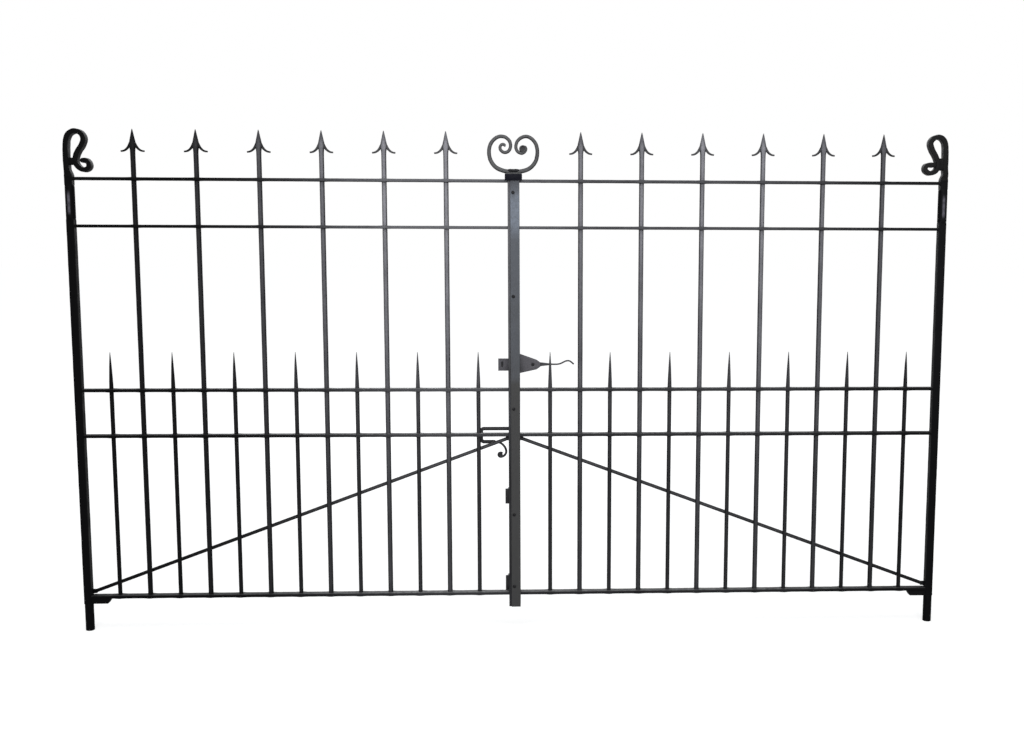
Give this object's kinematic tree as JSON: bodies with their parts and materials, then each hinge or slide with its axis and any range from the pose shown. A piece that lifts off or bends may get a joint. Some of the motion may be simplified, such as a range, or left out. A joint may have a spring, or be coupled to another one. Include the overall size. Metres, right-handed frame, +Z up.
{
  "type": "double driveway gate",
  "caption": "Pair of forged flat-rail driveway gate leaves with spear-headed and spiked bars, scrolls, drop bolt and gravity latch.",
  "frame": {"origin": "centre of the flat foot of the left heel pivot, where it stands on its ground stone", "axes": "+X along the closed gates from the left hinge to the right hinge, +Z up, -Y towards the street face with the cover plate"},
  "size_m": [3.032, 0.0823, 1.7426],
  "materials": {
    "stile_paint": "satin black paint over hand-forged square bar, worn to bare steel where the heel and collar turn",
    "frame_paint": "satin black paint over flat bar with softened forged edges",
    "bar_paint": "satin black paint over round bar, forged spear heads and spikes",
    "scroll_paint": "satin black paint over hammered scroll work, brighter on the raised edges",
    "hardware_paint": "satin black paint, rubbed thin where the latch and bolt slide"
  },
  "bodies": {
    "ground_pivots": {"left_heel_pivot": "stile_paint", "right_heel_pivot": "stile_paint"},
    "left_leaf": {"left_hanging_stile": "stile_paint", "left_meeting_stile": "frame_paint", "left_top_rail": "frame_paint", "left_upper_rail": "frame_paint", "left_middle_rail": "frame_paint", "left_lower_rail": "frame_paint", "left_bottom_rail": "frame_paint", "left_spear_bar_1": "bar_paint", "left_spear_bar_2": "bar_paint", "left_spear_bar_3": "bar_paint", "left_spear_bar_4": "bar_paint", "left_spear_bar_5": "bar_paint", "left_spear_bar_6": "bar_paint", "left_dog_bars": "bar_paint", "left_brace": "bar_paint", "left_foot_gusset": "scroll_paint", "left_stile_scroll": "scroll_paint", "cover_plate": "frame_paint", "stile_cap": "frame_paint", "heart_scroll": "scroll_paint", "latch_keeper": "hardware_paint", "bolt_guides": "hardware_paint"},
    "right_leaf": {"right_hanging_stile": "stile_paint", "right_meeting_stile": "frame_paint", "right_top_rail": "frame_paint", "right_upper_rail": "frame_paint", "right_middle_rail": "frame_paint", "right_lower_rail": "frame_paint", "right_bottom_rail": "frame_paint", "right_spear_bar_1": "bar_paint", "right_spear_bar_2": "bar_paint", "right_spear_bar_3": "bar_paint", "right_spear_bar_4": "bar_paint", "right_spear_bar_5": "bar_paint", "right_spear_bar_6": "bar_paint", "right_dog_bars": "bar_paint", "right_brace": "bar_paint", "right_foot_gusset": "scroll_paint", "right_stile_scroll": "scroll_paint", "latch_plate": "hardware_paint", "latch_pivot": "hardware_paint"},
    "latch": {"latch_lever": "hardware_paint"},
    "drop_bolt": {"drop_bolt": "hardware_paint"}
  },
  "joints": [
    {"name": "left_leaf_swing", "type": "hinge", "parent": "ground_pivots", "child": "left_leaf", "pos_m": [0, 0, 0.0972], "axis": [0, 0, -1], "range_deg": [0, 95]},
    {"name": "right_leaf_swing", "type": "hinge", "parent": "ground_pivots", "child": "right_leaf", "pos_m": [3, 0, 0.0972], "axis": [0, 0, -1], "range_deg": [0, 95]},
    {"name": "latch_lift", "type": "hinge", "parent": "right_leaf", "child": "latch", "pos_m": [1.56525, 0.028, 0.939], "axis": [0, 1, 0], "range_deg": [0, 18]},
    {"name": "bolt_slide", "type": "slide", "parent": "left_leaf", "child": "drop_bolt", "axis": [0, 0, 1], "range_m": [-0.1, 0]}
  ]
}
